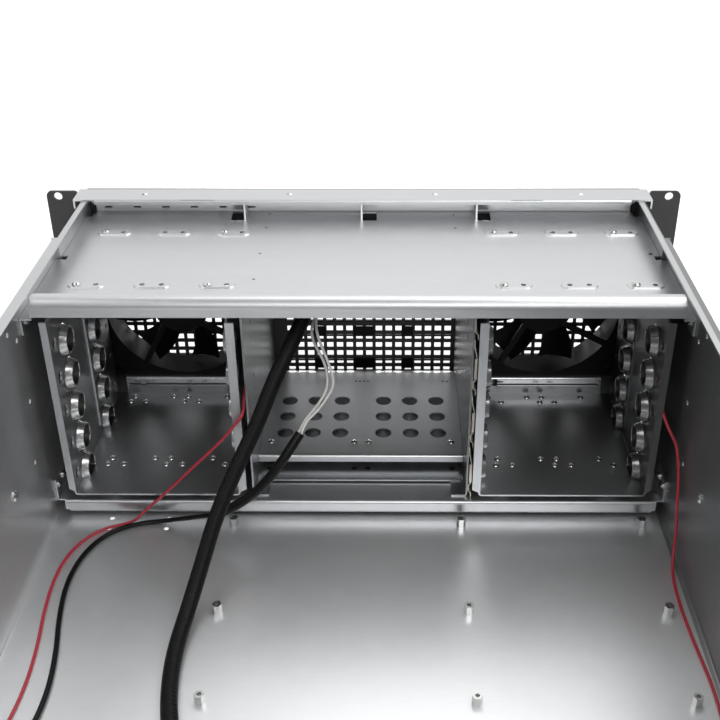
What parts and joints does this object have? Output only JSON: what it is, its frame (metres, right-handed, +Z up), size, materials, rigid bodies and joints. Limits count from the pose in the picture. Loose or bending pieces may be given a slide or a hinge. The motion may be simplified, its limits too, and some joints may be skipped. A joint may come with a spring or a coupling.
{
  "type": "empty rackmount server case",
  "caption": "Open-topped rack-mount server case of folded sheet steel with two drive cages, a middle bay, front fans, rack ears and internal leads.",
  "frame": {"origin": "middle of the underside of the case", "axes": "+X along the front panel, +Y out of the front panel, +Z up"},
  "size_m": [0.4826, 0.51, 0.1778],
  "materials": {
    "zinc_steel": "zinc-plated sheet, satin",
    "spring_steel": "spring steel, bright",
    "screw_steel": "nickel-plated",
    "black_screw": "black oxide",
    "black_paint": "fine black powder coat",
    "fan_plastic": "matte",
    "rotor_plastic": "satin",
    "button_plastic": "satin",
    "lens_plastic": "clear",
    "circuit_board": "solder mask",
    "port_shell": "stamped",
    "plug_plastic": "matte",
    "black_sleeve": "braided sleeve",
    "black_wire": "satin",
    "white_wire": "satin",
    "red_wire": "satin"
  },
  "bodies": {
    "case": {"base_plate": "zinc_steel", "base_screws": "screw_steel", "bay_springs": "spring_steel", "chassis_tub": "zinc_steel", "drive_shelf": "zinc_steel", "ear_screws": "black_screw", "front_panel": "black_paint", "io_board": "circuit_board", "io_bracket": "zinc_steel", "io_cable": "black_sleeve", "io_plug": "plug_plastic", "lamp_lenses": "lens_plastic", "left_drive_cage": "zinc_steel", "left_ear": "black_paint", "left_fan_bracket": "zinc_steel", "left_fan_frame": "fan_plastic", "left_fan_lead": "red_wire", "left_fan_plug": "plug_plastic", "left_grille": "black_paint", "mesh_clips": "fan_plastic", "middle_cage_left_wall": "zinc_steel", "middle_cage_plate": "zinc_steel", "middle_cage_right_wall": "zinc_steel", "middle_grille": "black_paint", "rear_panel": "zinc_steel", "right_drive_cage": "zinc_steel", "right_ear": "black_paint", "right_fan_bracket": "zinc_steel", "right_fan_frame": "fan_plastic", "right_fan_lead": "red_wire", "right_fan_plug": "plug_plastic", "right_grille": "black_paint", "roof_rivets": "screw_steel", "roof_strip": "zinc_steel", "slot_covers": "zinc_steel", "slot_rail": "zinc_steel", "slot_screws": "screw_steel", "standoffs": "screw_steel", "switch_lead": "black_wire", "switch_plug": "plug_plastic", "switch_wire_a": "white_wire", "switch_wire_b": "white_wire", "top_tray": "zinc_steel", "tray_screws": "screw_steel", "usb_ports": "port_shell", "wall_screws": "screw_steel", "wire_sleeve": "black_wire"},
    "left_rotor": {"left_fan_rotor": "rotor_plastic"},
    "right_rotor": {"right_fan_rotor": "rotor_plastic"},
    "power_key": {"power_button": "button_plastic"},
    "reset_key": {"reset_button": "button_plastic"}
  },
  "joints": [
    {"name": "left_fan_spin", "type": "hinge", "parent": "case", "child": "left_rotor", "pos_m": [-0.1384, 0.2195, 0.09915], "axis": [0, 1, 0], "continuous": true},
    {"name": "right_fan_spin", "type": "hinge", "parent": "case", "child": "right_rotor", "pos_m": [0.1384, 0.2195, 0.09915], "axis": [0, 1, 0], "continuous": true},
    {"name": "power_push", "type": "slide", "parent": "case", "child": "power_key", "axis": [0, -1, 0], "range_m": [0, 0.0015], "stiffness_N_per_m": 400, "springref_m": -0.001},
    {"name": "reset_push", "type": "slide", "parent": "case", "child": "reset_key", "axis": [0, -1, 0], "range_m": [0, 0.0015], "stiffness_N_per_m": 400, "springref_m": -0.001}
  ]
}
